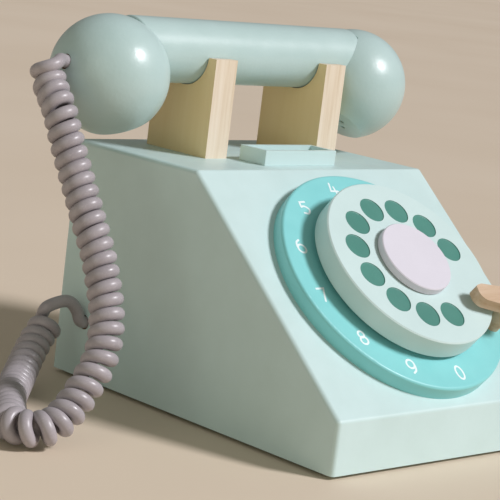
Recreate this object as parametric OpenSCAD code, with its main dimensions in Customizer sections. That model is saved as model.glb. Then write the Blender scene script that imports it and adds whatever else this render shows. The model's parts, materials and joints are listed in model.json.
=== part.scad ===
// Wooden toy telephone with a finger dial, a lift-off handset and a curly cord.
// Millimetres. X is to the right of someone facing the dial, Y runs from front to back, Z is up.
// The origin is the centre of the underside, on the surface that the telephone stands on.

/* [Body] */
// Width of the body
body_w = 134; // [124:1:150]
// Depth of the body, front to back
body_d = 166; // [160:1:176]
// Height of the box above its felt base
body_h = 98.5; // [92:0.5:104]
// Height of the upright lip under the sloping dial panel
lip_h = 21; // [16:1:26]
// Depth of the flat top
top_d = 74; // [70:1:80]
// Thickness of the box panels
panel_t = 8; // [7:0.5:9]
// Rounding of the outer edges
edge_r = 2; // [1:0.5:3]
// Thickness of the felt under the box
felt_t = 1.5; // [1:0.5:3]

/* [Dial] */
// Distance of the dial's centre from the lip, up the slope
dial_up = 58; // [57:0.5:60]
// Diameter of the number plate
plate_d = 108; // [106:1:112]
// Thickness of the number plate
plate_t = 6.5; // [6:0.5:7]
// Diameter of the finger wheel
wheel_d = 80.5; // [76:0.5:82]
// Thickness of the finger wheel
wheel_t = 9.5; // [8:0.5:10]
// Gap between the number plate and the finger wheel
wheel_gap = 1.8; // [1.2:0.1:2.4]
// Diameter of each finger recess
finger_d = 11.7; // [10:0.1:12.5]
// Depth of each finger recess
finger_depth = 0.4; // [0.3:0.1:1.5]
// Radius of the ring that the finger recesses lie on
finger_ring_r = 26.9; // [25:0.1:29]
// Number of finger recesses
finger_count = 10; // [8:1:10]
// Angle of the first finger recess, counter-clockwise from the right
finger_start = 10.6; // [0:0.1:20]
// Diameter of the plain cap in the middle of the wheel
cap_d = 33.4; // [28:0.1:36]
// Thickness of the plain cap
cap_t = 3.2; // [2.5:0.1:4]
// Diameter of the spindle that the wheel turns on
spindle_d = 12; // [10:1:14]

/* [Finger stop] */
// Direction of the stop's post from the dial's centre, clockwise from the right
stop_angle = 32.3; // [30:0.1:40]
// Width of the stop bar at its tip
stop_w = 8.6; // [7:0.2:9]
// Width of the stop bar at its post
stop_root_w = 11.2; // [10:0.2:12]
// Thickness of the stop bar
stop_t = 5; // [4:0.5:6]
// Gap between the wheel and the stop bar
stop_gap = 2.6; // [1.5:0.1:4]
// Diameter of the post that carries the stop bar
post_d = 8; // [6:0.5:9]

/* [Handset] */
// Diameter of the two balls
ball_d = 49; // [47:1:49]
// Distance between the two ball centres
ball_span = 142; // [142:1:150]
// Diameter of the straight handle
handle_d = 26.8; // [24:0.2:28]
// Height of the handle's axis above the ball centres
handle_rise = 11; // [9:0.5:12]
// How far the handset lies off centre in its cradles
handset_shift = -8; // [-8:1:7]
// Lean of the flat mouth face, inwards from straight down
mouth_lean = 25; // [10:1:35]
// Lean of the flat ear face, inwards from straight down
ear_lean = 31; // [10:1:35]

/* [Cradles] */
// Thickness of the cradle boards
cradle_t = 12; // [10:0.5:12]
// Depth of the cradle boards, front to back
cradle_d = 37; // [34:1:38]
// Height of the cradle boards above the box
cradle_h = 41; // [40:0.5:42]
// Distance between the middles of the two boards
cradle_span = 65; // [60:1:65]
// Height of the handle's axis above the box
handle_h = 42; // [42:0.5:44]
// Gap between the handle and its notches
notch_gap = 0.4; // [0.3:0.1:0.8]

/* [Card tray] */
// Width of the little tray on top
tray_w = 42; // [36:1:48]
// Depth of the tray, front to back
tray_d = 15.5; // [14:0.5:16]
// Height of the tray
tray_h = 6.4; // [5.6:0.2:8]
// Thickness of the tray's walls
tray_wall = 1.8; // [1.4:0.1:2.4]

/* [Cord] */
// Outer diameter of the curly cord's turns
curl_d = 14.4; // [13:0.2:15]
// Diameter of the cord's own strand
strand_d = 5.3; // [4.5:0.1:5.9]

/* [Hidden] */

mint = [0.80, 0.90, 0.87];
turquoise = [0.55, 0.87, 0.85];
plain_wood = [0.85, 0.74, 0.56];
cord_grey = [0.72, 0.67, 0.68];

smooth = 96;        // facets on large round parts
fine = 48;          // facets on small round parts
glue = 0.05;        // radial room for glue around a dowel or a pin
running = 0.08;     // radial room around a turning shaft
eps = 0.01;         // overshoot of a cutting tool

// ---- the box's outline, seen from its right side as [y, z]

box_z = felt_t;
top_z = box_z + body_h;
front_y = -body_d / 2;
back_y = body_d / 2;
brow_y = back_y - top_d;                 // front edge of the flat top
lip_z = box_z + lip_h;
inner_w = body_w - 2 * panel_t;          // space between the side panels
slope = atan2(top_z - lip_z, brow_y - front_y);

corners = [
    [front_y, box_z], [front_y, lip_z], [brow_y, top_z], [back_y, top_z], [back_y, box_z]
];

// inner corners of the sloping panel, where the inside faces meet
under_start = [front_y + panel_t * sin(slope), lip_z - panel_t * cos(slope)];
function on_underside(s) = under_start + s * [cos(slope), sin(slope)];
lip_inner = on_underside((front_y + panel_t - under_start[0]) / cos(slope));
brow_inner = on_underside((top_z - panel_t - under_start[1]) / sin(slope));

function unit(v) = v / norm(v);

// one corner of the outline, rounded: [start of the arc, end of the arc, centre of the arc]
function rounded(i, r) =
    let (
        n = len(corners),
        p = corners[i],
        a = unit(corners[(i + n - 1) % n] - p),
        b = unit(corners[(i + 1) % n] - p),
        half = acos(a * b) / 2,
        reach = r / tan(half)
    )
    [p + a * reach, p + b * reach, p + unit(a + b) * r / sin(half)];

// the outline in the YZ plane, rounded at the lip and the brow, square at the back and the bottom
module outline() {
    difference() {
        polygon(corners);
        for (i = [1, 2]) {
            arc = rounded(i, edge_r);
            difference() {
                polygon([corners[i], arc[0], arc[2], arc[1]]);
                translate(arc[2]) circle(r = edge_r, $fn = fine);
            }
        }
    }
}

// stands a YZ drawing up and gives it a width along X, centred
module across(width) {
    translate([-width / 2, 0, 0])
        rotate([90, 0, 90])
            linear_extrude(width) children();
}

// a board between the two side panels, cut to the rounded outline
module between_board(points) {
    across(inner_w)
        intersection() {
            polygon(points);
            outline();
        }
}

// ---- the box

cord_y = 66.5;                           // where the cord goes into the left side
cord_z = felt_t + 23.5;
cord_hole_d = 6.2;

over = 5;                                // how far the rounded blank runs past the square edges
blank = [
    [front_y + edge_r, box_z - over], rounded(1, edge_r)[2], rounded(2, edge_r)[2],
    [back_y + over, top_z - edge_r], [back_y + over, box_z - over]
];

// right side panel: flat inside, outer edge rounded along the front, the slope and the top,
// sawn square at the back and the bottom
module side_panel() {
    difference() {
        hull()
            for (centre = blank)
                translate([inner_w / 2, centre[0], centre[1]])
                    rotate([0, 90, 0]) {
                        cylinder(r = edge_r, h = panel_t - edge_r, $fn = 32);
                        translate([0, 0, panel_t - edge_r]) sphere(r = edge_r, $fn = 32);
                    }
        translate([inner_w / 2 - 1, front_y - 1, box_z - 4 * over])
            cube([panel_t + 2, body_d + 4 * over, 4 * over]);
        translate([inner_w / 2 - 1, back_y, box_z - over])
            cube([panel_t + 2, 4 * over, body_h + 2 * over]);
    }
}

module right_side_panel() {
    color(mint) side_panel();
}

module left_side_panel() {
    color(mint)
        difference() {
            mirror([1, 0, 0]) side_panel();
            translate([-body_w / 2 - 1, cord_y, cord_z])
                rotate([0, 90, 0]) cylinder(d = cord_hole_d, h = panel_t + 2, $fn = fine);
        }
}

module front_panel() {
    color(mint)
        between_board([
            corners[0], corners[1], lip_inner, [front_y + panel_t, box_z]
        ]);
}

module dial_panel() {
    color(mint)
        difference() {
            between_board([corners[1], corners[2], brow_inner, lip_inner]);
            on_dial(-panel_t - 1)
                cylinder(d = spindle_d + 2 * running, h = panel_t + 2, $fn = fine);
            at_stop_post(-post_root)
                cylinder(d = post_d + 2 * glue, h = post_root + 1, $fn = fine);
            at_plate_pins(-pin_root)
                cylinder(d = pin_d + 2 * glue, h = pin_root + 1, $fn = fine);
        }
}

module top_panel() {
    color(mint)
        difference() {
            between_board([corners[2], corners[3], [back_y, top_z - panel_t], brow_inner]);
            at_cradle_dowels()
                translate([0, 0, top_z - dowel_down])
                    cylinder(d = dowel_d + 2 * glue, h = dowel_down + 1, $fn = fine);
        }
}

module back_panel() {
    color(mint)
        between_board([
            [back_y - panel_t, box_z], [back_y - panel_t, top_z - panel_t],
            [back_y, top_z - panel_t], corners[4]
        ]);
}

bottom_t = 6;
bottom_d = body_d - 2 * panel_t;

module bottom_panel() {
    color(plain_wood)
        difference() {
            translate([-inner_w / 2, -bottom_d / 2, box_z])
                cube([inner_w, bottom_d, bottom_t]);
            at_screws() {
                translate([0, 0, box_z - 1])
                    cylinder(d = screw_d + 0.4, h = bottom_t + 2, $fn = fine);
                translate([0, 0, box_z - eps])
                    cylinder(d1 = screw_head_d + 0.4, d2 = screw_d + 0.4, h = screw_head_h, $fn = fine);
            }
        }
}

// ---- corner blocks that the bottom is screwed to

block_w = 16;
block_h = 10;
screw_d = 3.5;
screw_head_d = 7;
screw_head_h = 2.6;
screw_len = 14;
block_x = inner_w / 2 - block_w / 2;
front_block_y = -bottom_d / 2 + block_w / 2;
back_block_y = bottom_d / 2 - block_w / 2;

module at_screws() {
    for (x = [-block_x, block_x], y = [front_block_y, back_block_y])
        translate([x, y, 0]) children();
}

module corner_blocks() {
    color(plain_wood)
        difference() {
            at_screws()
                translate([-block_w / 2, -block_w / 2, box_z + bottom_t])
                    cube([block_w, block_w, block_h]);
            at_screws()
                translate([0, 0, box_z])
                    cylinder(d = screw_d + 2 * glue, h = screw_len + 0.5, $fn = fine);
        }
}

// countersunk screws through the bottom, heads a little below the surface
module bottom_screws() {
    color("silver")
        at_screws()
            translate([0, 0, box_z + 0.2])
                difference() {
                    union() {
                        cylinder(d1 = screw_head_d, d2 = screw_d, h = screw_head_h - 0.4, $fn = fine);
                        cylinder(d = screw_d, h = screw_len - 2.5, $fn = fine);
                        translate([0, 0, screw_len - 2.5])
                            cylinder(d1 = screw_d, d2 = 0.6, h = 2, $fn = fine);
                    }
                    for (turn = [0, 90])
                        rotate([0, 0, turn])
                            translate([-1.8, -0.4, -1]) cube([3.6, 0.8, 1.9]);
                }
}

felt_inset = 7;

module felt_base() {
    color("dimgray")
        linear_extrude(felt_t)
            rounded_square(body_w - 2 * felt_inset, body_d - 2 * felt_inset, 4);
}

// a rectangle with round corners, centred
module rounded_square(w, d, r) {
    square([w - 2 * r, d], center = true);
    square([w, d - 2 * r], center = true);
    for (x = [-1, 1], y = [-1, 1])
        translate([x * (w / 2 - r), y * (d / 2 - r)]) circle(r = r, $fn = fine);
}

// ---- cradles, their dowels and the tray, all on top of the box

cradle_x = cradle_span / 2;
cradle_y = 53.5;                         // middle of the boards, under the handle's axis
handle_z = top_z + handle_h;
dowel_d = 6;
dowel_down = 6;                          // depth of a dowel in the top panel
dowel_up = 12;                           // height of a dowel in the cradle
dowel_gap = 20;                          // distance between a cradle's two dowels

module at_cradle_dowels() {
    for (x = [-cradle_x, cradle_x], y = [-dowel_gap / 2, dowel_gap / 2])
        translate([x, cradle_y + y, 0]) children();
}

module cradle(x) {
    color(plain_wood)
        difference() {
            translate([x - cradle_t / 2, cradle_y - cradle_d / 2, top_z])
                cube([cradle_t, cradle_d, cradle_h]);
            translate([x - cradle_t, cradle_y, handle_z])
                rotate([0, 90, 0])
                    cylinder(d = handle_d + 2 * notch_gap, h = 2 * cradle_t, $fn = smooth);
            at_cradle_dowels()
                translate([0, 0, top_z - 1])
                    cylinder(d = dowel_d + 2 * glue, h = dowel_up + 1, $fn = fine);
        }
}

module left_cradle() { cradle(-cradle_x); }
module right_cradle() { cradle(cradle_x); }

module cradle_dowels() {
    color("burlywood")
        at_cradle_dowels()
            translate([0, 0, top_z - dowel_down])
                cylinder(d = dowel_d, h = dowel_down + dowel_up, $fn = fine);
}

tray_y = 25.5;
tray_floor = 1.2;

module card_tray() {
    color(mint)
        translate([0, tray_y, top_z])
            difference() {
                translate([-tray_w / 2, -tray_d / 2, 0]) cube([tray_w, tray_d, tray_h]);
                translate([-tray_w / 2 + tray_wall, -tray_d / 2 + tray_wall, tray_floor])
                    cube([tray_w - 2 * tray_wall, tray_d - 2 * tray_wall, tray_h]);
            }
}

// ---- the dial. Its own axes lie in the sloping face: x to the right, y up the slope, z outwards

dial_y = front_y + dial_up * cos(slope);
dial_z = lip_z + dial_up * sin(slope);

module on_dial(height) {
    translate([0, dial_y, dial_z])
        rotate([slope, 0, 0])
            translate([0, 0, height]) children();
}

wheel_bottom = plate_t + wheel_gap;
wheel_top = wheel_bottom + wheel_t;
plate_edge_r = 1.2;
wheel_edge = 0.5;
pin_d = 5;
pin_root = 6;                            // depth of a plate pin in the dial panel
pin_ring_r = 22;

module at_plate_pins(height) {
    for (side = [0, 180])
        on_dial(height)
            rotate([0, 0, side]) translate([pin_ring_r, 0, 0]) children();
}

// turquoise disc with a rounded upper edge
module number_plate() {
    color(turquoise)
        difference() {
            on_dial(0)
                rotate_extrude($fn = smooth) {
                    square([plate_d / 2, plate_t - plate_edge_r]);
                    square([plate_d / 2 - plate_edge_r, plate_t]);
                    translate([plate_d / 2 - plate_edge_r, plate_t - plate_edge_r])
                        circle(r = plate_edge_r, $fn = fine);
                }
            on_dial(-1)
                cylinder(d = spindle_d + 2 * running, h = plate_t + 2, $fn = fine);
            at_stop_post(-1)
                cylinder(d = post_d + 2 * glue, h = plate_t + 2, $fn = fine);
            at_plate_pins(-1)
                cylinder(d = pin_d + 2 * glue, h = plate_pin_up + 1, $fn = fine);
        }
}

plate_pin_up = 4.5;

module plate_pins() {
    color("burlywood")
        at_plate_pins(-pin_root)
            cylinder(d = pin_d, h = pin_root + plate_pin_up, $fn = fine);
}

post_r = 47.5;                           // distance of the stop's post from the dial's centre
post_root = 6;                           // depth of the post in the dial panel
stop_bottom = wheel_top + stop_gap;
stop_tip = [30.6, -7];                   // middle of the bar's round tip, x along the post's direction
stop_root = [49.5, -1.1];                // middle of its round outer end
stop_corner = [27.4, -6.2];              // middle of the tighter corner at the tip
stop_corner_r = 1.5;
spigot_d = 5;
spigot_h = 3.5;

module at_stop_post(height) {
    on_dial(height)
        rotate([0, 0, -stop_angle]) translate([post_r, 0, 0]) children();
}

module finger_stop_post() {
    color(plain_wood)
        at_stop_post(-post_root) {
            cylinder(d = post_d, h = post_root + stop_bottom, $fn = fine);
            cylinder(d = spigot_d, h = post_root + stop_bottom + spigot_h, $fn = fine);
        }
}

module finger_stop_bar() {
    color(plain_wood)
        difference() {
            on_dial(stop_bottom)
                rotate([0, 0, -stop_angle])
                    linear_extrude(stop_t)
                        hull() {
                            translate(stop_tip) circle(d = stop_w, $fn = smooth);
                            translate(stop_root) circle(d = stop_root_w, $fn = smooth);
                            translate(stop_corner) circle(r = stop_corner_r, $fn = fine);
                        }
            at_stop_post(stop_bottom - 1)
                cylinder(d = spigot_d + 2 * glue, h = spigot_h + 1, $fn = fine);
        }
}

// mint wheel with a ring of shallow round recesses
module finger_wheel() {
    color(mint)
        on_dial(wheel_bottom)
            difference() {
                rotate_extrude($fn = smooth)
                    polygon([
                        [spindle_d / 2 + glue, 0], [wheel_d / 2 - wheel_edge, 0],
                        [wheel_d / 2, wheel_edge], [wheel_d / 2, wheel_t - wheel_edge],
                        [wheel_d / 2 - wheel_edge, wheel_t], [spindle_d / 2 + glue, wheel_t]
                    ]);
                for (i = [0 : finger_count - 1])
                    rotate([0, 0, finger_start + 30 * i])
                        translate([finger_ring_r, 0, wheel_t - finger_depth])
                            cylinder(d = finger_d, h = finger_depth + 1, $fn = fine);
            }
}

cap_foot = 0.4;                          // the cap stands on a slightly smaller foot
cap_edge = 0.4;

module centre_cap() {
    color("white")
        on_dial(wheel_top)
            rotate_extrude($fn = smooth)
                polygon([
                    [0, 0], [cap_d / 2 - 1.2, 0], [cap_d / 2 - 1.2, cap_foot],
                    [cap_d / 2, cap_foot], [cap_d / 2, cap_foot + cap_t - cap_edge],
                    [cap_d / 2 - cap_edge, cap_foot + cap_t], [0, cap_foot + cap_t]
                ]);
}

spacer_d = 34;
axial_play = 0.15;

// washer glued under the wheel, which runs just clear of the plate
module hub_spacer() {
    color("burlywood")
        on_dial(plate_t + axial_play)
            difference() {
                cylinder(d = spacer_d, h = wheel_gap - axial_play, $fn = smooth);
                translate([0, 0, -1])
                    cylinder(d = spindle_d + 2 * glue, h = wheel_gap + 2, $fn = fine);
            }
}

spindle_end = -panel_t - 0.4;            // the spindle ends just inside the dial panel
pilot_d = 3;
pilot_depth = 14;

module dial_spindle() {
    color("burlywood")
        on_dial(spindle_end)
            difference() {
                cylinder(d = spindle_d, h = wheel_top - spindle_end, $fn = fine);
                translate([0, 0, -1])
                    cylinder(d = pilot_d + 2 * glue, h = pilot_depth + 1, $fn = fine);
            }
}

washer_d = 24;
washer_t = 1.6;

module retaining_washer() {
    color("silver")
        on_dial(spindle_end - washer_t)
            difference() {
                cylinder(d = washer_d, h = washer_t, $fn = smooth);
                translate([0, 0, -1]) cylinder(d = pilot_d + 0.4, h = washer_t + 2, $fn = fine);
            }
}

pan_d = 7;
pan_h = 2.2;

module retaining_screw() {
    color("silver")
        on_dial(spindle_end - washer_t)
            difference() {
                union() {
                    cylinder(d = pilot_d, h = washer_t + pilot_depth - 1, $fn = fine);
                    translate([0, 0, -pan_h]) cylinder(d = pan_d, h = pan_h, $fn = fine);
                }
                for (turn = [0, 90])
                    rotate([0, 0, turn])
                        translate([-2, -0.4, -pan_h - 1]) cube([4, 0.8, 2]);
            }
}

// ---- the handset, drawn about the point midway between its ball centres

ball_r = ball_d / 2;
ball_x = ball_span / 2;
ball_z = handle_z - handle_rise;
handle_sink = 8;                         // the handle stops this far short of a ball's centre
handle_len = ball_span - 2 * handle_sink;
handle_arris = 1.2;
handle_pin_d = 8;
handle_pin_half = 12;
mouth_flat = 19.8;                       // distance of each flat face from its ball's centre
ear_flat = 19.2;
hole_ring_r = 6.5;
sound_hole_d = 2.4;
sound_hole_depth = 4;

module on_handset() {
    translate([handset_shift, cradle_y, ball_z]) children();
}

module handset_handle() {
    color(mint)
        on_handset()
            translate([-handle_len / 2, 0, handle_rise])
                rotate([0, 90, 0])
                    difference() {
                        rotate_extrude($fn = smooth) {
                            square([handle_d / 2 - handle_arris, handle_len]);
                            translate([0, handle_arris])
                                square([handle_d / 2, handle_len - 2 * handle_arris]);
                            for (end = [handle_arris, handle_len - handle_arris])
                                translate([handle_d / 2 - handle_arris, end])
                                    circle(r = handle_arris, $fn = fine);
                        }
                        for (end = [0, handle_len])
                            translate([0, 0, end - handle_pin_half - 0.5])
                                cylinder(d = handle_pin_d + 2 * glue, h = 2 * handle_pin_half + 1,
                                         $fn = fine);
                    }
}

// one ball centred on the origin, with its handle on the +X side and its flat face leaning there
module ball(flat, lean) {
    difference() {
        sphere(r = ball_r, $fn = smooth);
        translate([handle_sink, 0, handle_rise])
            rotate([0, 90, 0]) cylinder(d = handle_d + 2 * glue, h = ball_r, $fn = smooth);
        translate([handle_sink - handle_pin_half - 0.5, 0, handle_rise])
            rotate([0, 90, 0])
                cylinder(d = handle_pin_d + 2 * glue, h = handle_pin_half + 1, $fn = fine);
        rotate([0, 180 - lean, 0]) {
            translate([-ball_r, -ball_r, flat]) cube([ball_d, ball_d, ball_r]);
            translate([0, 0, flat - sound_hole_depth]) {
                cylinder(d = sound_hole_d, h = ball_r, $fn = 24);
                for (i = [0 : 5])
                    rotate([0, 0, 60 * i + 30])
                        translate([hole_ring_r, 0, 0])
                            cylinder(d = sound_hole_d, h = ball_r, $fn = 24);
            }
        }
    }
}

// the cord's hole in the mouth ball faces outwards and a little up
plug_hole_depth = 16;
hole_turn = 2;
hole_tilt = -79;
plug_inset = 6;
plug_len = 8;

module at_ball_cord() {
    translate([-ball_x, 0, 0])
        rotate([0, 0, hole_turn]) rotate([0, hole_tilt, 0])
            children();
}

module mouth_ball() {
    color(mint)
        on_handset()
            difference() {
                translate([-ball_x, 0, 0]) ball(mouth_flat, mouth_lean);
                at_ball_cord()
                    translate([0, 0, ball_r - plug_hole_depth])
                        cylinder(d = cord_hole_d, h = plug_hole_depth + 1, $fn = fine);
            }
}

module ear_ball() {
    color(mint)
        on_handset()
            translate([ball_x, 0, 0]) mirror([1, 0, 0]) ball(ear_flat, ear_lean);
}

// dowels inside the joints between the handle and the balls
module handle_pins() {
    color("burlywood")
        on_handset()
            for (x = [-handle_len / 2, handle_len / 2])
                translate([x - handle_pin_half, 0, handle_rise])
                    rotate([0, 90, 0])
                        cylinder(d = handle_pin_d, h = 2 * handle_pin_half, $fn = fine);
}

// wooden plug that grips the cord's end deep in the mouth ball
module ball_cord_plug() {
    color("burlywood")
        on_handset()
            at_ball_cord()
                translate([0, 0, ball_r - plug_inset - plug_len])
                    cylinder(d = cord_hole_d - 2 * glue, h = plug_len, $fn = fine);
}

// ---- the cord: the outer shape of its curls, and the straight end that goes into the box

curl_route = [
    [-112, 48, 138], [-112.5, 46, 128], [-114, 39.5, 118.5], [-113.5, 34, 108], [-112.5, 29, 98],
    [-112, 23, 88], [-112, 16.5, 78], [-111.5, 10.5, 68], [-112, 5, 58], [-113, 0, 48],
    [-116, -4.5, 38], [-121, -7.5, 29], [-127, -9, 22], [-133, -10.5, 16], [-140, -12, 11],
    [-146, -12, 8.5], [-151.5, -9.5, 8], [-154, -3.5, 8], [-152.5, 2, 8], [-147, 9.5, 8],
    [-138, 22, 8], [-129, 32.5, 8], [-120, 42, 8], [-110, 52, 9], [-101.5, 59.5, 13],
    [-94.5, 64.5, 18.5], [-90, 67, 24], [-86, 68, 28], [-81, 67.5, 29]
];
tail_route = [
    [-81, 67.5, 29], [-78.5, 67.25, 29.5], [-74, 66.8, 28.3], [-70.5, 66.5, 26], [-67.8, 66.5, 25],
    [-59, 66.5, 25], [-46, 66.5, 25]
];

sweep_side = [0.5, -0.5, 0.7];           // never points along the cord

function along(route, i) =
    unit(route[min(i + 1, len(route) - 1)] - route[max(i - 1, 0)]);

function ring(route, i, r, sides) =
    let (t = along(route, i), u = unit(cross(t, sweep_side)), v = cross(t, u))
    [for (k = [0 : sides - 1]) route[i] + r * (u * cos(360 * k / sides) + v * sin(360 * k / sides))];

// a round tube swept along a route, closed at both ends
module tube(route, d, sides) {
    n = len(route);
    polyhedron(
        points = [for (i = [0 : n - 1]) each ring(route, i, d / 2, sides)],
        faces = concat(
            [[for (k = [sides - 1 : -1 : 0]) k]],
            [for (i = [0 : n - 2], k = [0 : sides - 1])
                let (a = i * sides + k, b = i * sides + (k + 1) % sides)
                each [[a, b, b + sides], [a, b + sides, a + sides]]],
            [[for (k = [0 : sides - 1]) (n - 1) * sides + k]]
        )
    );
}

module cord() {
    color(cord_grey) tube(curl_route, curl_d, 12);
}

module cord_tail() {
    color(cord_grey) tube(tail_route, strand_d, 10);
}

// wooden collar inside the box that keeps the cord from pulling out
module cord_clamp() {
    color("burlywood")
        translate([-inner_w / 2, cord_y, cord_z])
            rotate([0, 90, 0])
                difference() {
                    cylinder(d = 14, h = 8, $fn = fine);
                    translate([0, 0, -1]) cylinder(d = strand_d + 0.2, h = 10, $fn = fine);
                }
}

left_side_panel();
right_side_panel();
front_panel();
dial_panel();
top_panel();
back_panel();
bottom_panel();
corner_blocks();
bottom_screws();
felt_base();
left_cradle();
right_cradle();
cradle_dowels();
card_tray();
number_plate();
plate_pins();
finger_stop_post();
finger_stop_bar();
finger_wheel();
centre_cap();
hub_spacer();
dial_spindle();
retaining_washer();
retaining_screw();
handset_handle();
mouth_ball();
ear_ball();
handle_pins();
ball_cord_plug();
cord();
cord_tail();
cord_clamp();
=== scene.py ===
import json
import math

import bmesh
import bpy
from mathutils import Matrix, Vector

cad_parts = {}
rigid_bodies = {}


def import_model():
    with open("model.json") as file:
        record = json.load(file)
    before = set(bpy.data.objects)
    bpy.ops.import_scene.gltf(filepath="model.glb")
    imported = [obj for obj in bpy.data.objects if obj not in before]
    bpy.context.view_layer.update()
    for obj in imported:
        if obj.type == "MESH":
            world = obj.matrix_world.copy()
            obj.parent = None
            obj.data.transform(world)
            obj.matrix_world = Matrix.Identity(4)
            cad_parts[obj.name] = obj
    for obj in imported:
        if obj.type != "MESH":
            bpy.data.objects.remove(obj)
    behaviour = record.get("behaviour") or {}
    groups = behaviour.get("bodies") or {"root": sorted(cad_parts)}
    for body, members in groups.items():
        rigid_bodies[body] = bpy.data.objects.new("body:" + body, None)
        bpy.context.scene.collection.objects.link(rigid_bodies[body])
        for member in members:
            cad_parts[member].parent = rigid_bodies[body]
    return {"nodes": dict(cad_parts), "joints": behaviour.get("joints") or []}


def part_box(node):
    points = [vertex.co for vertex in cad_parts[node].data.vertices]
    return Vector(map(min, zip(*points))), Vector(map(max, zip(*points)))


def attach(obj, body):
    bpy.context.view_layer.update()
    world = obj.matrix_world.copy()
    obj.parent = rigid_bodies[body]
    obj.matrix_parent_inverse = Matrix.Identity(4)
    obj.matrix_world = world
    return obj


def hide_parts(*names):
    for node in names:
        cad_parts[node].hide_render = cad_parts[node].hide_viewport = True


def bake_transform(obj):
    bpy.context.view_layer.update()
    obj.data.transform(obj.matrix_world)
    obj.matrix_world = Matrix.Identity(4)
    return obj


# A painted wooden toy telephone, made round its CAD model. Most CAD nodes stay and get their materials.
# The painted box, the curly cord, the paint in the recesses, the digits and the wood in the cord's holes are
# made here.

# Blender's default objects go first
for leftover in list(bpy.data.objects):
    bpy.data.objects.remove(leftover)
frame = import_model()
bpy.context.view_layer.update()
nodes = frame["nodes"]
scene = bpy.context.scene
MM = 0.001                               # in metres

# ---------------------------------------------------------------- camera

CAMERA_AT = (-0.5971, -0.5580, 0.2046)
YAW, PITCH, ROLL = math.radians(44.85), math.radians(9.76), math.radians(7.03)
SENSOR, LENS = 36, 143.5                 # width and focal length, mm
SHIFT = (0.0035, -0.0009)
CLIP = (0.05, 60)

ahead = Vector((math.sin(YAW) * math.cos(PITCH), math.cos(YAW) * math.cos(PITCH), -math.sin(PITCH)))
level = Vector((math.cos(YAW), -math.sin(YAW), 0))
above = level.cross(ahead)
cam_x = math.cos(ROLL) * level + math.sin(ROLL) * above
cam_y = -math.sin(ROLL) * level + math.cos(ROLL) * above
cam_data = bpy.data.cameras.new("camera")
cam_data.sensor_width = SENSOR
cam_data.lens = LENS
cam_data.shift_x, cam_data.shift_y = SHIFT
cam_data.clip_start, cam_data.clip_end = CLIP
camera = bpy.data.objects.new("camera", cam_data)
turn = Matrix((cam_x, cam_y, -ahead)).transposed().to_4x4()
camera.matrix_world = Matrix.Translation(CAMERA_AT) @ turn
scene.collection.objects.link(camera)
scene.camera = camera

# ---------------------------------------------------------------- small helpers


def add_object(name, mesh, smooth=True):
    """A new object with this mesh, in the scene."""
    if smooth:
        mesh.shade_smooth()
    obj = bpy.data.objects.new(name, mesh)
    scene.collection.objects.link(obj)
    return obj


def add_mesh(name, verts, faces):
    mesh = bpy.data.meshes.new(name)
    mesh.from_pydata([tuple(v) for v in verts], [], faces)
    mesh.validate()
    return add_object(name, mesh)


def add_bmesh(name, bm, smooth=True):
    bmesh.ops.recalc_face_normals(bm, faces=bm.faces)
    mesh = bpy.data.meshes.new(name)
    bm.to_mesh(mesh)
    bm.free()
    return add_object(name, mesh, smooth)


def even_normals(obj):
    """Large faces pull the normals of the small ones beside them, so that flat faces look flat."""
    mod = obj.modifiers.new("even_normals", "WEIGHTED_NORMAL")
    mod.mode = "FACE_AREA"
    mod.weight = 100
    mod.keep_sharp = True


def place(obj, body, slot, material, *replaced):
    """Gives a piece its material, its body and the CAD nodes that it stands for; slot is not used. A piece
    with None for its body is attached to no body."""
    obj.data.materials.clear()
    obj.data.materials.append(material)
    if body is not None:
        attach(obj, body)
    if replaced:
        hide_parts(*replaced)


# the dial's own frame: x to the right, y up the slope, z out of the panel
spin = next(j for j in frame["joints"] if j["name"] == "dial_spin")
dial_z = Vector(spin["axis"]).normalized()
dial_x = Vector((1, 0, 0))
dial_y = dial_z.cross(dial_x)
DIAL = Matrix.Translation(Vector(spin["pos_m"])) @ Matrix((dial_x, dial_y, dial_z)).transposed().to_4x4()


def on_dial(x, y):
    """The dial's frame moved by x and y, in mm."""
    return DIAL @ Matrix.Translation((x * MM, y * MM, 0))


def on_ring(radius, degrees):
    """The dial's frame moved to a place on a ring round the dial's centre."""
    a = math.radians(degrees)
    return on_dial(radius * math.cos(a), radius * math.sin(a))


# ---------------------------------------------------------------- the cord's route, in mm

# the middle of the coil, from the ball down to the floor and back up to the box's side: the CAD route, with
# a few points at its two ends moved by up to 4 mm to where the turns start and stop
CURL = [
    (-113.2, 51.2, 136.5), (-112.8, 48.9, 128), (-114, 39.5, 118.5), (-113.5, 34, 108), (-112.5, 29, 98),
    (-112, 23, 88), (-112, 16.5, 78), (-111.5, 10.5, 68), (-112, 5, 58), (-113, 0, 48),
    (-116, -4.5, 38), (-121, -7.5, 29), (-127, -9, 22), (-133, -10.5, 16), (-140, -12, 11),
    (-146, -12, 8.5), (-151.5, -9.5, 8), (-154, -3.5, 8), (-152.5, 2, 8), (-147, 9.5, 8),
    (-138, 22, 8), (-129, 32.5, 8), (-120, 42, 8), (-110, 52, 9), (-101.3, 59.5, 13),
    (-93.3, 64.8, 18.6), (-87.5, 66.8, 24), (-82.5, 67.5, 27.5),
]
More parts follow.
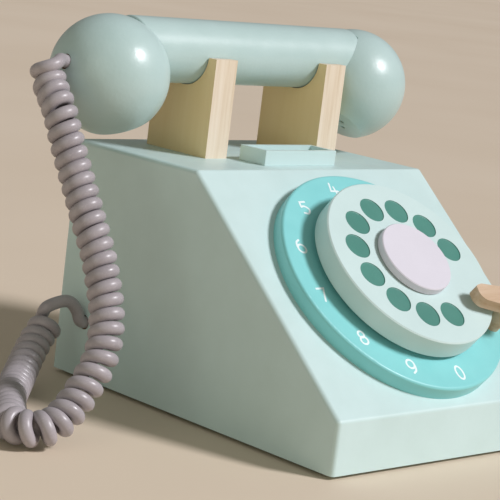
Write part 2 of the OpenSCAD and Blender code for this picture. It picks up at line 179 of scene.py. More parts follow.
# from the coil's end steeply down to the side panel, and in
LEAD_OUT = [(-79.5, 67.2, 34.4), (-75, 66.6, 33.8), (-71.2, 66.5, 29.7), (-69.8, 66.5, 26.4),
            (-66.5, 66.5, 25), (-47, 66.5, 25)]
BALL_EXIT = Vector((-103.03, 52.66, 135.67))
BALL_OUT = Vector((-0.9810, -0.0343, 0.1908)).normalized()
PANEL_HOLE = Vector((-67, 66.5, 25))
HOLE_R = 3.1
STRAND_R = 2.62
STRAND_SIDES = 14
CURL_R = 4.5                             # from the middle of the coil to the middle of the strand
PITCH_MM = 5.35                          # length of the coil that one turn takes
COIL_START, COIL_SHORT = 1.2, 1.0        # room left at the route's two ends
FIRST_PHASE = math.radians(48)
# where turns lie further apart: extra pitch, place along the route, and half length
LOOSE = [(1.8, 3, 6), (1.1, 138, 22)]
ROUTE_STEP = 0.25                        # spacing of points along the route
STRAND_STEP = 0.9                        # spacing of points along the finished strand
END_WINDOW = 75                          # how many of the coil's last points are tried as its end
END_SIDE = Vector((0, 0.8, 1))           # the side of the turn that it ends on: up and back
BALL_DEPTH = 7                           # how far inside the ball the lead-in starts
BALL_PULL, COIL_PULL = 11, 4.5           # lengths of the lead-in curve's two handles
BEZIER_STEPS = 40
LIFT_OFF = Vector((0.6, 0, 1.0))         # how the lead-out first rises from the last turn
LIFT_RUN = 3
EASE_STEP, EASE_PASSES = 0.3, 12


def spline(points, per_span=24):
    """Points of a smooth curve through the given ones."""
    pts = [Vector(p) for p in points]
    pts = [2 * pts[0] - pts[1]] + pts + [2 * pts[-1] - pts[-2]]
    out = []
    for i in range(1, len(pts) - 2):
        p0, p1, p2, p3 = pts[i - 1:i + 3]
        for k in range(per_span):
            t = k / per_span
            out.append(0.5 * ((2 * p1) + (p2 - p0) * t + (2 * p0 - 5 * p1 + 4 * p2 - p3) * t * t
                              + (3 * p1 - p0 - 3 * p2 + p3) * t ** 3))
    out.append(pts[-2].copy())
    return out


def resample(points, step):
    """The same line with points a fixed distance apart."""
    out, left = [points[0].copy()], step
    for a, b in zip(points, points[1:]):
        gap = (b - a).length
        done = 0.0
        while gap - done >= left:
            done += left
            out.append(a.lerp(b, done / gap))
            left = step
        left -= gap - done
    if (out[-1] - points[-1]).length > 0.2 * step:
        out.append(points[-1].copy())
    return out


def frames(line, first_side):
    """A direction, a side and a third axis at each point, with no twist along the line."""
    out, side = [], first_side
    for i in range(len(line)):
        along = (line[min(i + 1, len(line) - 1)] - line[max(i - 1, 0)]).normalized()
        side = (side - along * side.dot(along)).normalized()
        out.append((along, side, along.cross(side)))
    return out


def bezier(a, b, c, d, n):
    """The first n of n + 1 points of the curve from a to d with the handles b and c."""
    return [(1 - t) ** 3 * a + 3 * (1 - t) ** 2 * t * b + 3 * (1 - t) * t * t * c + t ** 3 * d
            for t in (k / n for k in range(n))]


def curly_cord():
    """The strand's own line, in mm: out of the ball, round and round the route, and into the box."""
    axis = resample(spline(CURL), ROUTE_STEP)
    length = ROUTE_STEP * (len(axis) - 1)
    coil, phase = [], FIRST_PHASE
    for i, (centre, (_, side, third)) in enumerate(zip(axis, frames(axis, Vector((1, 0, 0))))):
        s = i * ROUTE_STEP
        if s < COIL_START or s > length - COIL_SHORT:
            continue
        if coil:
            loose = sum(extra * math.exp(-((s - at) / half) ** 2) for extra, at, half in LOOSE)
            phase += 2 * math.pi * ROUTE_STEP / (PITCH_MM + loose)
        # right-handed round the direction of travel
        coil.append(centre + CURL_R * (math.cos(phase) * side + math.sin(phase) * third))
    last = max(range(len(coil) - END_WINDOW, len(coil)), key=lambda k: (coil[k] - axis[-1]).dot(END_SIDE))
    coil = resample(coil[:last + 1], STRAND_STEP)
    # lead-in from inside the ball
    start_way = (coil[1] - coil[0]).normalized()
    inside = BALL_EXIT - BALL_DEPTH * BALL_OUT
    handles = inside + BALL_PULL * BALL_OUT, coil[0] - COIL_PULL * start_way
    lead_in = resample(bezier(inside, *handles, coil[0], BEZIER_STEPS) + [coil[0]], STRAND_STEP)
    # lead-out, over the top and down into the box
    end_way = (coil[-1] - coil[-2]).normalized()
    lead_out = [coil[-1], coil[-1] + LIFT_RUN * end_way + LIFT_OFF] + [Vector(p) for p in LEAD_OUT]
    lead_out = resample(spline(lead_out), STRAND_STEP)
    # the joins between the three stretches are eased
    line = resample(lead_in[:-1] + coil + lead_out[1:], EASE_STEP)
    for _ in range(EASE_PASSES):
        line = line[:1] + [(a + 2 * b + c) / 4 for a, b, c in zip(line, line[1:], line[2:])] + line[-1:]
    return resample(line, STRAND_STEP)


def sweep(name, line, radius, sides, start_side):
    """A closed round tube along a line."""
    axes = frames(line, start_side)
    verts, faces = [], []
    for point, (along, side, third) in zip(line, axes):
        for k in range(sides):
            a = 2 * math.pi * k / sides
            verts.append((point + radius * (math.cos(a) * side + math.sin(a) * third)) * MM)
    n = len(line)
    for i in range(n - 1):
        for k in range(sides):
            a, b = i * sides + k, i * sides + (k + 1) % sides
            faces.append((a, b, b + sides, a + sides))
    faces.append(tuple(range(sides - 1, -1, -1)))
    faces.append(tuple((n - 1) * sides + k for k in range(sides)))
    return add_mesh(name, verts, faces)


strand = curly_cord()
cord = sweep("curly_cord", strand, STRAND_R, STRAND_SIDES, Vector((0, 0, 1)))

# ---------------------------------------------------------------- materials


def srgb(r, g, b):
    """A colour socket's value from sRGB numbers of 0 to 255."""
    def one(v):
        v /= 255
        return v / 12.92 if v <= 0.04045 else ((v + 0.055) / 1.055) ** 2.4
    return (one(r), one(g), one(b), 1)


class Mat:
    """A node material with a few shortcuts."""

    def __init__(self, name):
        self.m = bpy.data.materials.new(name)
        self.m.use_nodes = True
        self.t = self.m.node_tree
        self.shader = self.t.nodes["Principled BSDF"]
        self.coord = self.t.nodes.new("ShaderNodeTexCoord").outputs["Object"]

    def node(self, kind, **settings):
        n = self.t.nodes.new(kind)
        for key, value in settings.items():
            setattr(n, key, value)
        return n

    def link(self, a, b):
        self.t.links.new(a, b)

    def stretched(self, scale):
        """Object coordinates stretched by a scale on each axis."""
        m = self.node("ShaderNodeMapping")
        m.inputs["Scale"].default_value = scale
        self.link(self.coord, m.inputs["Vector"])
        return m.outputs["Vector"]

    def noise(self, vector, scale, detail=3, rough=0.5, distort=0.0):
        n = self.node("ShaderNodeTexNoise")
        n.inputs["Scale"].default_value = scale
        n.inputs["Detail"].default_value = detail
        n.inputs["Roughness"].default_value = rough
        n.inputs["Distortion"].default_value = distort
        self.link(vector, n.inputs["Vector"])
        return n.outputs["Fac"]

    def ramp(self, fac, stops):
        """stops: (place, colour) from the lowest to the highest."""
        r = self.node("ShaderNodeValToRGB")
        r.color_ramp.elements[0].position, r.color_ramp.elements[0].color = stops[0]
        r.color_ramp.elements[1].position, r.color_ramp.elements[1].color = stops[-1]
        for pos, col in stops[1:-1]:
            r.color_ramp.elements.new(pos).color = col
        self.link(fac, r.inputs["Fac"])
        return r.outputs["Color"]

    def to_range(self, fac, low, high, from_low=0.0, from_high=1.0):
        """Goes from low to high as fac goes from from_low to from_high."""
        r = self.node("ShaderNodeMapRange")
        r.inputs["From Min"].default_value = from_low
        r.inputs["From Max"].default_value = from_high
        r.inputs["To Min"].default_value = low
        r.inputs["To Max"].default_value = high
        self.link(fac, r.inputs["Value"])
        return r.outputs["Result"]

    def maths(self, operation, a, b=0.5):
        """A sum on the value a; b is ignored where the operation takes only one."""
        n = self.node("ShaderNodeMath", operation=operation)
        n.inputs[1].default_value = b
        self.link(a, n.inputs[0])
        return n.outputs[0]

    def x_of(self, vector):
        """The vector's X."""
        parts = self.node("ShaderNodeSeparateXYZ")
        self.link(vector, parts.inputs[0])
        return parts.outputs[0]

    def mix(self, fac, a, b):
        """Colour a where fac is 0, and colour b where it is 1."""
        x = self.node("ShaderNodeMix", data_type="RGBA", blend_type="MIX")
        fac_in = next(s for s in x.inputs if s.type == "VALUE" and s.enabled)
        a_in, b_in = [s for s in x.inputs if s.type == "RGBA"]
        for value, socket in ((fac, fac_in), (a, a_in), (b, b_in)):
            if isinstance(value, bpy.types.NodeSocket):
                self.link(value, socket)
            else:
                socket.default_value = value
        return next(s for s in x.outputs if s.type == "RGBA")

    def bump(self, layers):
        """layers: (height, distance in metres, strength) from the coarsest to the finest."""
        last = None
        for height, distance, strength in layers:
            b = self.node("ShaderNodeBump")
            b.inputs["Distance"].default_value = distance
            b.inputs["Strength"].default_value = strength
            self.link(height, b.inputs["Height"])
            if last is not None:
                self.link(last, b.inputs["Normal"])
            last = b.outputs["Normal"]
        self.link(last, self.shader.inputs["Normal"])


def paint(name, base, darker, rough=(0.34, 0.46), grain=(60, 60, 60), grain_depth=0.00003,
          peel=0.00002, coat=0.0):
    """Satin paint on wood: faint mottling, the wood's grain telegraphing through, and orange peel."""
    mat = Mat(name)
    mottle = mat.noise(mat.coord, scale=38, detail=4, rough=0.6)
    fine = mat.noise(mat.coord, scale=420, detail=2)
    colour = mat.ramp(mottle, [(0.30, darker), (0.70, base)])
    speck = mat.to_range(fine, 0.0, 0.04, 0.35, 0.75)
    mat.link(mat.mix(speck, colour, darker), mat.shader.inputs["Base Color"])
    patch = mat.noise(mat.coord, scale=130, detail=3)
    mat.link(mat.to_range(patch, rough[0], rough[1], 0.3, 0.7), mat.shader.inputs["Roughness"])
    streaks = mat.noise(mat.stretched(grain), scale=1, detail=4, rough=0.6)
    orange = mat.noise(mat.coord, scale=620, detail=1)
    mat.bump([(streaks, grain_depth, 1.0), (orange, peel, 1.0)])
    mat.shader.inputs["Specular IOR Level"].default_value = 0.5
    if coat:
        mat.shader.inputs["Coat Weight"].default_value = coat
        mat.shader.inputs["Coat Roughness"].default_value = 0.12
    return mat.m


BROAD_GRAIN = 0.22                       # the wide streaks' scale, as a part of the fine fibres'


def wood(name, light, mid, dark, grain=(260, 260, 10), ply=0.0, painted_shade_tint=None):
    """Bare sanded wood. The grain runs along the axis with the small number. ply is the thickness of two
    layers, which lie across X; the last argument is a painted warm shade for a board's broad faces."""
    mat = Mat(name)
    fibres = mat.noise(mat.stretched(grain), scale=1, detail=5, rough=0.65, distort=0.3)
    broad = mat.noise(mat.stretched(tuple(g * BROAD_GRAIN for g in grain)), scale=1, detail=2)
    colour = mat.ramp(fibres, [(0.25, dark), (0.50, mid), (0.72, light)])
    colour = mat.mix(mat.to_range(broad, 0.0, 0.35, 0.4, 0.75), colour, dark)
    if ply:
        layers = mat.maths("SINE", mat.maths("MULTIPLY", mat.x_of(mat.coord), 2 * math.pi / ply))
        colour = mat.mix(mat.to_range(layers, 0.0, 0.55, 0.1, 0.9), colour, mid)
    if painted_shade_tint:
        # painted shade: the broad faces of a board, which look along X, are tinted more golden than its sawn
        # edges, as if in warm shade
        facing = mat.maths("ABSOLUTE", mat.x_of(mat.node("ShaderNodeNewGeometry").outputs["True Normal"]))
        colour = mat.mix(mat.to_range(facing, 0, 0.8, 0.5, 0.9), colour, painted_shade_tint)
    mat.link(colour, mat.shader.inputs["Base Color"])
    mat.link(mat.to_range(fibres, 0.68, 0.52, 0.3, 0.7), mat.shader.inputs["Roughness"])
    fuzz = mat.noise(mat.coord, scale=900, detail=2)
    mat.bump([(fibres, 0.00010, 0.8), (fuzz, 0.00003, 0.6)])
    mat.shader.inputs["Specular IOR Level"].default_value = 0.35
    return mat.m


mint = paint("mint_paint", srgb(202, 225, 224), srgb(196, 219, 217), grain=(30, 220, 220))
mint_round = paint("mint_paint_turned", srgb(186, 209, 207), srgb(178, 202, 199), rough=(0.28, 0.38),
                   grain=(60, 260, 260), grain_depth=0.000008, peel=0.00005, coat=0.15)
mint_wheel = paint("mint_paint_wheel", srgb(204, 226, 224), srgb(198, 220, 218), grain=(40, 240, 240))
turquoise = paint("turquoise_paint", srgb(139, 214, 215), srgb(130, 207, 208), grain=(40, 240, 240))
teal = paint("teal_paint", srgb(77, 140, 127), srgb(70, 131, 119), rough=(0.38, 0.5), peel=0.00004)
white = paint("white_paint", srgb(220, 217, 226), srgb(214, 211, 220), rough=(0.4, 0.5),
              grain=(40, 240, 240), grain_depth=0.00001)
print_white = paint("printed_white", srgb(236, 246, 247), srgb(226, 240, 241), rough=(0.4, 0.5),
                    grain_depth=0.000005, peel=0.000008)
# the last argument paints a warm shade on the cradles' broad faces
ply = wood("birch_ply", srgb(236, 224, 208), srgb(226, 211, 190), srgb(206, 184, 154), ply=2.4 * MM,
           grain=(200, 200, 12), painted_shade_tint=srgb(236, 208, 150))
stop_wood = wood("stop_wood", srgb(219, 197, 174), srgb(206, 181, 154), srgb(178, 146, 112),
                 grain=(24, 200, 200))
turned_wood = wood("turned_wood", srgb(216, 190, 150), srgb(196, 164, 120), srgb(158, 122, 82))
bare_rim = wood("bare_rim", srgb(176, 140, 100), srgb(150, 112, 74), srgb(112, 80, 50),
                grain=(300, 300, 300))


def cord_material():
    mat = Mat("cord_plastic")
    mottle = mat.noise(mat.coord, scale=90, detail=4, rough=0.6)
    specks = mat.noise(mat.coord, scale=1500, detail=1)
    colour = mat.ramp(mottle, [(0.3, srgb(156, 149, 153)), (0.7, srgb(173, 166, 170))])
    colour = mat.mix(mat.to_range(specks, 0.0, 0.16, 0.55, 0.75), colour, srgb(205, 197, 200))
    mat.link(colour, mat.shader.inputs["Base Color"])
    mat.link(mat.to_range(mottle, 0.30, 0.42, 0.3, 0.7), mat.shader.inputs["Roughness"])
    ripple = mat.noise(mat.coord, scale=700, detail=2)
    mat.bump([(ripple, 0.000012, 0.8)])
    return mat.m


def felt_material():
    mat = Mat("felt")
    clumps = mat.noise(mat.coord, scale=260, detail=5, rough=0.7)
    fibres = mat.noise(mat.coord, scale=1400, detail=3, rough=0.7, distort=1.5)
    colour = mat.ramp(clumps, [(0.3, srgb(52, 54, 54)), (0.7, srgb(84, 86, 86))])
    mat.link(colour, mat.shader.inputs["Base Color"])
    mat.link(mat.to_range(fibres, 0.88, 1.0), mat.shader.inputs["Roughness"])
    mat.bump([(clumps, 0.0002, 0.8), (fibres, 0.0001, 1.0)])
    mat.shader.inputs["Sheen Weight"].default_value = 0.3
    return mat.m


def steel_material():
    mat = Mat("zinc_steel")
    brushed = mat.noise(mat.stretched((900, 900, 60)), scale=1, detail=3)
    spangle = mat.noise(mat.coord, scale=500, detail=2)
    mat.link(mat.ramp(spangle, [(0.3, srgb(176, 178, 180)), (0.7, srgb(206, 207, 208))]),
             mat.shader.inputs["Base Color"])
    mat.link(mat.to_range(brushed, 0.25, 0.45), mat.shader.inputs["Roughness"])
    mat.bump([(brushed, 0.00002, 0.8)])
    mat.shader.inputs["Metallic"].default_value = 1
    return mat.m


cord_plastic, felt, steel = cord_material(), felt_material(), steel_material()

# ---------------------------------------------------------------- the cord

place(cord, None, "cord", cord_plastic, "cord", "cord_tail")
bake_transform(cord)

# ---------------------------------------------------------------- CAD nodes that stay, with their materials

keep = {
    mint: ["card_tray"],
    mint_wheel: ["finger_wheel"],
    mint_round: ["handset_handle", "mouth_ball", "ear_ball"],
    turquoise: ["number_plate"],
    white: ["centre_cap"],
    ply: ["left_cradle", "right_cradle"],
    stop_wood: ["finger_stop_bar", "finger_stop_post"],
    turned_wood: ["cradle_dowels", "plate_pins", "hub_spacer", "dial_spindle", "handle_pins",
                  "ball_cord_plug", "cord_clamp", "corner_blocks", "bottom_panel"],
    felt: ["felt_base"],
    steel: ["bottom_screws", "retaining_washer", "retaining_screw"],
}
for material, names in keep.items():
    for name in names:
        node = nodes[name]
        for i in range(len(node.material_slots)):
            node.material_slots[i].link = "OBJECT"
            node.material_slots[i].material = material

# ---------------------------------------------------------------- the painted box, and small round edges

INNER, OUTER = 59.0, 67.0                # the side panels' inner and outer faces, from the middle
BOARD = 8.0                              # thickness of the boards between them
EDGE_R = 2.0                             # round edges of the box
ARC_STEPS = 8                            # in each round corner
SHARP_ANGLE = 40                         # degrees; the box's edges that bend more are drawn sharp
ROUND_SIDES = 48                         # of every small round shape
SPINDLE_HOLE_R, SPINDLE_HOLE_DEPTH = 6.08, 12
POST_HOLE_R, POST_RING, POST_ANGLE = 4.05, 47.5, -32.3
PIN_HOLE_R, PIN_X = 2.55, 22
DOWEL_HOLE_R, DOWEL_X, DOWEL_YS = 3.05, 32.5, (43.5, 63.5)
SOCKET_DEPTH = 6                         # of the post's, the pins' and the dowels' holes
THROUGH_DEPTH = 10                       # enough to drill right through a side panel from its middle
# width in mm of the small round on a CAD node's edges, and the least bend in degrees that gets one
NODE_ROUNDS = {"left_cradle": 0.4, "right_cradle": 0.4, "card_tray": 0.3, "finger_stop_bar": 0.5,
               "centre_cap": 0.3}
NODE_ROUND_ANGLE = 35


def body_outline(inset=0.0):
    """The box's side outline as (y, z) in mm: rounded at the lip and the brow, square at the back and the
    bottom. The inset draws it in along the front, the slope and the top only."""
    side_lo, side_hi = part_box("left_side_panel")
    y0, y1 = side_lo.y / MM, side_hi.y / MM
    z0, z1 = side_lo.z / MM, side_hi.z / MM
    slope = math.atan2(-dial_z.y, dial_z.z)
    centre = DIAL.translation / MM
    # the sloping face passes through the dial's centre
    at_front = centre.z + (y0 - centre.y) * math.tan(slope)
    brow = centre.y + (z1 - centre.z) / math.tan(slope)
    corners = [Vector((y0, z0)), Vector((y0, at_front)), Vector((brow, z1)), Vector((y1, z1))]
    points = [(y0 + inset, z0)]
    for before, p, after in zip(corners, corners[1:], corners[2:]):
        a = (before - p).normalized()
        b = (after - p).normalized()
        half = math.acos(a.dot(b)) / 2
        mid = p + (a + b).normalized() * EDGE_R / math.sin(half)
        start = p + a * EDGE_R / math.tan(half)
        stop = p + b * EDGE_R / math.tan(half)
        a0 = math.atan2(start.y - mid.y, start.x - mid.x)
        a1 = math.atan2(stop.y - mid.y, stop.x - mid.x)
        while a0 - a1 < -math.pi:
            a1 -= 2 * math.pi
        for k in range(ARC_STEPS + 1):
            t = a0 + (a1 - a0) * k / ARC_STEPS
            points.append((mid.x + (EDGE_R - inset) * math.cos(t), mid.y + (EDGE_R - inset) * math.sin(t)))
    return points + [(y1, z1 - inset), (y1, z0)]


def sharpen(obj):
    """Smooth faces that break at real edges, with the large flat faces kept truly flat."""
    obj.data.set_sharp_from_angle(angle=math.radians(SHARP_ANGLE))
    even_normals(obj)


def drill(obj, at, radius, depth):
    """Cuts a round hole, to the given depth on both sides of the matrix's origin, along its Z."""
    bm = bmesh.new()
    bmesh.ops.create_cone(bm, cap_ends=True, segments=ROUND_SIDES, radius1=radius * MM, radius2=radius * MM,
                          depth=2 * depth * MM, matrix=at)
    cutter = add_bmesh("cutter", bm)
    cut = obj.modifiers.new("hole", "BOOLEAN")
    cut.object = cutter
    cut.operation = "DIFFERENCE"
    cut.solver = "EXACT"
    bpy.context.view_layer.update()
    dg = bpy.context.evaluated_depsgraph_get()
    done = bpy.data.meshes.new_from_object(obj.evaluated_get(dg))
    obj.modifiers.clear()
    obj.data = done
    bpy.data.objects.remove(cutter)


def rings_to_faces(bm, a, b):
    """Joins two rings of as many points each."""
    n = len(a)
    for k in range(n):
        bm.faces.new((a[k], a[(k + 1) % n], b[(k + 1) % n], b[k]))


def side_panel(name, side, hole=None):
    """A panel with its outer edge rounded, and an optional round hole (y, z, radius) right through."""
    quarter = [math.radians(90 * k / ARC_STEPS) for k in range(ARC_STEPS + 1)]
    # each row is (distance from the middle, inset)
    rows = [(INNER, 0.0)]
    rows += [(OUTER - EDGE_R + EDGE_R * math.sin(a), EDGE_R - EDGE_R * math.cos(a)) for a in quarter]
    most = 0.99 * EDGE_R                 # a full inset would close the round corners up
    bm = bmesh.new()
    loops = [[bm.verts.new((side * x * MM, y * MM, z * MM)) for y, z in body_outline(min(inset, most))]
             for x, inset in rows]
    for a, b in zip(loops, loops[1:]):
        rings_to_faces(bm, a, b)
    bm.faces.new(loops[0])
    bm.faces.new(loops[-1])
    obj = add_bmesh(name, bm)
    if hole:
        y, z, r = hole
        middle = Matrix.Translation((side * (INNER + OUTER) / 2 * MM, y * MM, z * MM))
        drill(obj, middle @ Matrix.Rotation(math.pi / 2, 4, "Y"), r, THROUGH_DEPTH)
    sharpen(obj)
    return obj


def board(name, section, holes=()):
    """A board between the side panels; holes are (matrix, radius, depth), with the last two in mm."""
    bm = bmesh.new()
    a, b = ([bm.verts.new((x * MM, y * MM, z * MM)) for y, z in section] for x in (-INNER, INNER))
    rings_to_faces(bm, a, b)
    bm.faces.new(a)
    bm.faces.new(b)
    obj = add_bmesh(name, bm)
    for at, r, depth in holes:
        drill(obj, at, r, depth)
    sharpen(obj)
    return obj


def boards():
    """The front, the sloping face, the top and the back. They meet in the middle of the lip and the brow."""
    outline = body_outline()
    (y0, z0), (y1, z1) = outline[0], outline[-2]
    rise, run = -dial_z.y, dial_z.z
    centre = DIAL.translation / MM
    # the inner corners, where the boards' inner faces meet
    lip = (y0 + BOARD, centre.z + (rise * (y0 + BOARD - centre.y) - BOARD) / run)
    brow = (centre.y + (run * (z1 - BOARD - centre.z) + BOARD) / rise, z1 - BOARD)
    # the outline's points in the middle of its two round corners
    mid_lip = 1 + ARC_STEPS // 2
    mid_brow = mid_lip + ARC_STEPS + 1
    dial_holes = [(on_dial(0, 0), SPINDLE_HOLE_R, SPINDLE_HOLE_DEPTH),
                  (on_ring(POST_RING, POST_ANGLE), POST_HOLE_R, SOCKET_DEPTH)]
    dial_holes += [(on_dial(x, 0), PIN_HOLE_R, SOCKET_DEPTH) for x in (PIN_X, -PIN_X)]
    top_holes = [(Matrix.Translation((x * MM, y * MM, z1 * MM)), DOWEL_HOLE_R, SOCKET_DEPTH)
                 for x in (-DOWEL_X, DOWEL_X) for y in DOWEL_YS]
    inner_back = [(y1, z1 - BOARD), (y1 - BOARD, z1 - BOARD)]
    for name, section, holes in (
            ("front_panel", outline[:mid_lip + 1] + [lip, (y0 + BOARD, z0)], ()),
            ("dial_panel", outline[mid_lip:mid_brow + 1] + [brow, lip], dial_holes),
            ("top_panel", outline[mid_brow:-1] + [(y1, z1 - BOARD), brow], top_holes),
            ("back_panel", [(y1, z0)] + inner_back + [(y1 - BOARD, z0)], ())):
        place(board(name.replace("_panel", "_board"), section, holes), "base", "mint_paint", mint, name)


def soften(name, width):
    """A small round on a CAD node's sharp edges."""
    node = nodes[name]
    weld = node.modifiers.new("weld", "WELD")
    weld.merge_threshold = 1e-6
    bevel = node.modifiers.new("round", "BEVEL")
    bevel.width = width * MM
    bevel.segments = 3
    bevel.limit_method = "ANGLE"
    bevel.angle_limit = math.radians(NODE_ROUND_ANGLE)
    even_normals(node)


left = side_panel("left_side", -1, hole=(PANEL_HOLE.y, PANEL_HOLE.z, HOLE_R))
place(left, "base", "mint_paint", mint, "left_side_panel")
right = side_panel("right_side", 1)
place(right, "base", "mint_paint", mint, "right_side_panel")
boards()

for name, width in NODE_ROUNDS.items():
    soften(name, width)

# ---------------------------------------------------------------- finger recesses: paint inside them

# heights in mm over the dial panel
PLATE_TOP, WHEEL_TOP = 6.5, 17.8
RECESSES, RECESS_R, RECESS_RING, RECESS_DEPTH = 10, 5.85, 26.9, 0.4
RECESS_START, RECESS_STEP = 10.6, 30     # degrees
SKIN = 0.05                              # thickness of the paint


def lathe_rings(bm, rings, matrix):
    """Adds a surface of revolution; rings are (radius, height) in mm, and a radius of 0 is one point."""
    made = []
    for r, h in rings:
        sides = ROUND_SIDES if r else 1
        turns = [2 * math.pi * k / sides for k in range(sides)]
        made.append([bm.verts.new(matrix @ Vector((r * MM * math.cos(a), r * MM * math.sin(a), h * MM)))
                     for a in turns])
    for a, b in zip(made, made[1:]):
        for k in range(ROUND_SIDES):
            k2 = (k + 1) % ROUND_SIDES
            if len(a) == 1:
                bm.faces.new((a[0], b[k], b[k2]))
            elif len(b) == 1:
                bm.faces.new((a[k], a[k2], b[0]))
            else:
                bm.faces.new((a[k], a[k2], b[k2], b[k]))


def recess_paint():
    """A thin coat of paint on the floor and wall of each recess."""
    bm = bmesh.new()
    floor = WHEEL_TOP - RECESS_DEPTH
    r = RECESS_R - 0.005                 # just clear of the wood
    # the floor, a small cove, the wall up to its rim, and back down behind the paint
    rings = [(0, floor + SKIN), (r - 0.4, floor + SKIN), (r - 0.12, floor + 2 * SKIN),
             (r - SKIN, floor + 0.2), (r - SKIN, WHEEL_TOP - 0.04),
             (r, WHEEL_TOP - 0.02), (r, floor + 0.01), (0, floor + 0.01)]
    for i in range(RECESSES):
        lathe_rings(bm, rings, on_ring(RECESS_RING, RECESS_START + RECESS_STEP * i))
    obj = add_bmesh("recess_paint", bm)
    even_normals(obj)
    return obj


place(recess_paint(), "dial", "mint_paint", teal)

# ---------------------------------------------------------------- printed digits

STROKE = 0.87                            # width of the pen
INK_LOW, INK_TOP = 0.005, 0.04           # the ink's two faces over the plate
INK_STEP = 0.012                         # a later stroke of a digit lies this much higher
CAP_STEPS = 8                            # in each round end
CURVE_STEPS = 8                          # between two of a curve's points
ELLIPSE_STEPS = 28


def ellipse(cx, cy, rx, ry):
    """A closed line round a middle, with its first point again at its end."""
    turns = [math.radians(360 * k / ELLIPSE_STEPS) for k in range(ELLIPSE_STEPS + 1)]
    return [(cx + rx * math.cos(a), cy + ry * math.sin(a)) for a in turns]


def curve(*points):
    """A smooth line through the points."""
    return [(p.x, p.y) for p in spline([(x, y, 0) for x, y in points], CURVE_STEPS)]


NINE = [ellipse(-0.1, 1.1, 1.95, 2.0), curve((1.85, 1.1), (1.7, -0.6), (0.9, -2.2), (-0.7, -3.1))]
# each digit's strokes, in mm from its own middle
SHAPES = {
    "0": [ellipse(0, 0, 1.9, 3.05)],
    "1": [[(-1.0, 2.1), (0.3, 3.0), (0.3, -3.1)]],
    "2": [curve((-1.7, 1.7), (-1.1, 2.8), (0.3, 3.0), (1.6, 2.1), (1.3, 0.6), (-0.4, -1.3), (-1.9, -3.0)),
          [(-1.9, -3.0), (2.0, -3.0)]],
    "3": [curve((-1.6, 2.4), (-0.3, 3.0), (1.3, 2.3), (1.1, 0.7), (-0.3, 0.2)),
          curve((-0.3, 0.2), (1.5, -0.3), (1.8, -1.8), (0.4, -3.0), (-1.7, -2.5))],
    "4": [[(-0.8, 3.2), (-1.95, -0.8), (2.0, -1.0)], [(0.6, 1.3), (0.6, -3.0)]],
    "5": [[(1.7, 3.0), (-1.2, 2.9), (-1.6, 0.5)],
          curve((-1.6, 0.45), (-0.6, 0.75), (0.6, 0.6), (1.85, -0.5), (1.9, -1.6), (0.5, -3.0),
                (-1.6, -2.6))],
    "6": [[(-x, -y) for x, y in line] for line in NINE],
    "7": [[(-1.9, 2.9), (1.9, 2.9), (-0.6, -3.1)]],
    "8": [ellipse(-0.05, 1.5, 1.5, 1.5), ellipse(0, -1.35, 1.8, 1.75)],
    "9": NINE,
}
# where each digit sits on the number plate: angle round the dial in degrees, and distance from its centre
SEATS = {"1": (5.5, 46.5), "2": (35.5, 46.5), "3": (65.5, 46.5), "4": (96, 46.5), "5": (126.7, 46.4),
         "6": (156.7, 46.1), "7": (186.5, 45.6), "8": (215, 45.8), "9": (244, 46), "0": (275.5, 46.8)}


def stroke_outline(line):
    """Left and right edges of a line drawn with a round pen, and whether the line is closed."""
    closed = math.dist(line[0], line[-1]) < 1e-6    # its two ends are the same point
    pts = line[:-1] if closed else line
    n, half = len(pts), STROKE / 2
    left, right = [], []
    for i, (x, y) in enumerate(pts):
        if closed:
            (ax, ay), (bx, by) = pts[i - 1], pts[(i + 1) % n]
        else:
            (ax, ay), (bx, by) = pts[max(i - 1, 0)], pts[min(i + 1, n - 1)]
        first = math.atan2(y - ay, x - ax) if (x, y) != (ax, ay) else math.atan2(by - y, bx - x)
        second = math.atan2(by - y, bx - x) if (x, y) != (bx, by) else first
        bend = (second - first + math.pi) % (2 * math.pi) - math.pi
        heading = first + bend / 2
        reach = half / max(0.4, math.cos(bend / 2))     # a sharp corner is kept from running far out
        left.append((x - reach * math.sin(heading), y + reach * math.cos(heading)))
        right.append((x + reach * math.sin(heading), y - reach * math.cos(heading)))
    return left, right, closed


def round_end(end, corner):
    """The points of the half circle round a stroke's end, clockwise from one of its corners."""
    turn = math.atan2(corner[1] - end[1], corner[0] - end[0])
    turns = [turn - math.pi * k / CAP_STEPS for k in range(1, CAP_STEPS)]
    return [(end[0] + STROKE / 2 * math.cos(a), end[1] + STROKE / 2 * math.sin(a)) for a in turns]


def raised(bm, at, edge, height):
    """The points of a flat outline at a height over the dial panel, in mm."""
    return [bm.verts.new(at @ Vector((x * MM, y * MM, height * MM))) for x, y in edge]


def digits():
    """Every digit as thin flat strokes with round ends, standing a hair above the number plate."""
    bm = bmesh.new()
    for name, strokes in SHAPES.items():
        angle, ring = SEATS[name]
        at = on_ring(ring, angle)
        for level, line in enumerate(strokes):
            top, low = PLATE_TOP + INK_TOP + INK_STEP * level, PLATE_TOP + INK_LOW
            left, right, closed = stroke_outline(line)
            if closed:
                rings = [raised(bm, at, edge, height)
                         for edge, height in ((left, top), (right, top), (right, low), (left, low))]
                for a, b in zip(rings, rings[1:] + rings[:1]):
                    rings_to_faces(bm, a, b)
                continue
            edge = left + round_end(line[-1], left[-1]) + right[::-1] + round_end(line[0], right[0])
            over, under = raised(bm, at, edge, top), raised(bm, at, edge, low)
            bm.faces.new(over)
            bm.faces.new(under[::-1])
            rings_to_faces(bm, over, under)
    return add_bmesh("digits", bm, smooth=False)


place(digits(), "base", "white_paint", print_white)

# ---------------------------------------------------------------- bare wood inside the cord's two holes

LINER_OUT, LINER_IN = HOLE_R - 0.02, HOLE_R - 0.10
LINER_MOUTH = -0.4                       # the liners stay this far inside the surface
BALL_LINER_DEPTH, PANEL_LINER_DEPTH = 6, 7


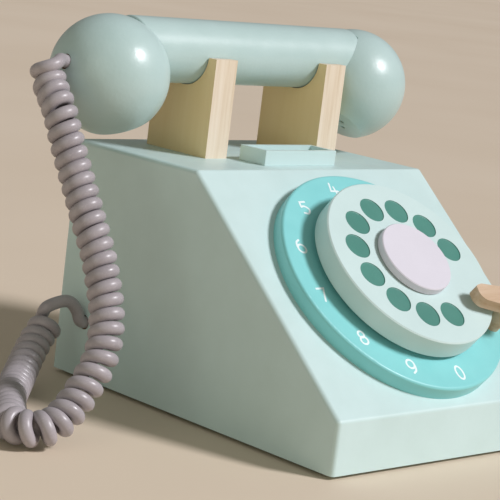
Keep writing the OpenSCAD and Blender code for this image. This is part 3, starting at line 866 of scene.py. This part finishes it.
def hole_liner(name, centre, out, depth):
    """A thin ring of bare wood inside the mouth of a drilled hole."""
    z = out.normalized()
    x = z.orthogonal().normalized()
    at = Matrix.Translation(centre * MM) @ Matrix((x, z.cross(x), z)).transposed().to_4x4()
    rings = [(LINER_OUT, -depth), (LINER_OUT, LINER_MOUTH), (LINER_IN, LINER_MOUTH), (LINER_IN, -depth),
             (LINER_OUT, -depth)]
    bm = bmesh.new()
    lathe_rings(bm, rings, at)
    bmesh.ops.remove_doubles(bm, verts=bm.verts, dist=1e-7)
    return add_bmesh(name, bm)


ball_liner = hole_liner("ball_hole_wood", BALL_EXIT, BALL_OUT, BALL_LINER_DEPTH)
place(ball_liner, "handset", "plain_wood", bare_rim)
panel_liner = hole_liner("panel_hole_wood", PANEL_HOLE, Vector((-1, 0, 0)), PANEL_LINER_DEPTH)
place(panel_liner, "base", "plain_wood", bare_rim)

# ---------------------------------------------------------------- floor and soft light

FLOOR_SIZE = 15                          # metres
KEY_FROM, KEY_STRENGTH = Vector((0.47, -0.736, 0.6875)), 2.95
KEY_WIDTH = math.radians(12)             # wide enough for shadows with soft edges
KEY_COLOUR = (1.0, 0.985, 1.03)
FILL_FROM, FILL_POWER = Vector((-0.95, -0.4, 0.25)), 5.5
FILL_DISTANCE, FILL_SIZE = 1.8, 1.6
FILL_COLOUR = (0.97, 1.0, 0.84)
AIM = Vector((0, 0, 0.07))               # the point that the fill is aimed at
ROOM_COLOUR, ROOM_STRENGTH = (1.0, 0.98, 0.9, 1), 0.2


def floor_material():
    mat = Mat("floor")
    n = mat.noise(mat.coord, scale=3, detail=3)
    colour = mat.ramp(n, [(0.3, srgb(219, 202, 180)), (0.7, srgb(224, 208, 187))])
    mat.link(colour, mat.shader.inputs["Base Color"])
    mat.shader.inputs["Roughness"].default_value = 0.7
    return mat.m


bm = bmesh.new()
bmesh.ops.create_grid(bm, x_segments=1, y_segments=1, size=FLOOR_SIZE)
floor = add_bmesh("floor", bm)
floor.data.materials.append(floor_material())


def add_light(name, kind, energy, colour, toward):
    """A light that lies in a direction from the object and shines back along it."""
    data = bpy.data.lights.new(name, kind)
    data.energy = energy
    data.color = colour
    light = bpy.data.objects.new(name, data)
    light.rotation_euler = (-toward).to_track_quat("-Z", "Y").to_euler()
    scene.collection.objects.link(light)
    return light


key = add_light("key", "SUN", KEY_STRENGTH, KEY_COLOUR, KEY_FROM)
key.data.angle = KEY_WIDTH
fill = add_light("fill", "AREA", FILL_POWER, FILL_COLOUR, FILL_FROM)
fill.data.shape = "DISK"
fill.data.size = FILL_SIZE
fill.location = FILL_FROM.normalized() * FILL_DISTANCE + AIM
world = bpy.data.worlds.new("world")
world.use_nodes = True
room = world.node_tree.nodes["Background"]
room.inputs["Color"].default_value = ROOM_COLOUR
room.inputs["Strength"].default_value = ROOM_STRENGTH
scene.world = world
scene.view_settings.view_transform = "Standard"

bpy.context.view_layer.update()
